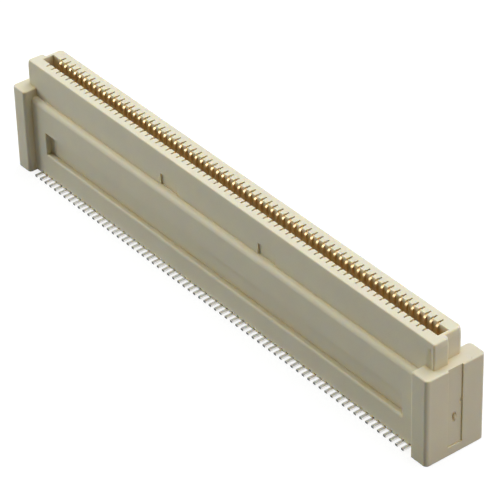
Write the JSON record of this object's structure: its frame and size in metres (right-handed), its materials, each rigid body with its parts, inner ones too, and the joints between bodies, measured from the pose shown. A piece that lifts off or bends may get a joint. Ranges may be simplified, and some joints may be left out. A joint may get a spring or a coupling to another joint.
{
  "type": "smd receptacle connector",
  "caption": "Tall fine-pitch board-to-board receptacle: slotted keyed shroud on a lifting wall, with spring contacts and flat solder feet.",
  "frame": {"origin": "on the board, under the middle of the housing", "axes": "+X along the contact rows, -Y the side where the shroud is longer, +Z away from the board"},
  "size_m": [0.046, 0.005, 0.0089],
  "materials": {
    "beige_resin": "fine moulded matt",
    "plated_contact": "gold plated beam, tin plated foot"
  },
  "bodies": {
    "root": {"housing": "beige_resin", "contact_near_21": "plated_contact", "contact_near_22": "plated_contact", "contact_near_23": "plated_contact", "contact_near_24": "plated_contact", "contact_near_25": "plated_contact", "contact_near_26": "plated_contact", "contact_near_27": "plated_contact", "contact_near_28": "plated_contact", "contact_near_29": "plated_contact", "contact_near_30": "plated_contact", "contact_near_31": "plated_contact", "contact_near_32": "plated_contact", "contact_near_33": "plated_contact", "contact_near_34": "plated_contact", "contact_near_35": "plated_contact", "contact_near_36": "plated_contact", "contact_near_37": "plated_contact", "contact_near_38": "plated_contact", "contact_near_39": "plated_contact", "contact_near_40": "plated_contact", "contact_near_41": "plated_contact", "contact_near_42": "plated_contact", "contact_near_43": "plated_contact", "contact_near_44": "plated_contact", "contact_near_45": "plated_contact", "contact_near_46": "plated_contact", "contact_near_47": "plated_contact", "contact_near_48": "plated_contact", "contact_near_49": "plated_contact", "contact_far_21": "plated_contact", "contact_far_22": "plated_contact", "contact_far_23": "plated_contact", "contact_far_24": "plated_contact", "contact_far_25": "plated_contact", "contact_far_26": "plated_contact", "contact_far_27": "plated_contact", "contact_far_28": "plated_contact", "contact_far_29": "plated_contact", "contact_far_30": "plated_contact", "contact_far_31": "plated_contact", "contact_far_32": "plated_contact", "contact_far_33": "plated_contact", "contact_far_34": "plated_contact", "contact_far_35": "plated_contact", "contact_far_36": "plated_contact", "contact_far_37": "plated_contact", "contact_far_38": "plated_contact", "contact_far_39": "plated_contact", "contact_far_40": "plated_contact", "contact_far_41": "plated_contact", "contact_far_42": "plated_contact", "contact_far_43": "plated_contact", "contact_far_44": "plated_contact", "contact_far_45": "plated_contact", "contact_far_46": "plated_contact", "contact_far_47": "plated_contact", "contact_far_48": "plated_contact", "contact_far_49": "plated_contact"}
  },
  "joints": []
}
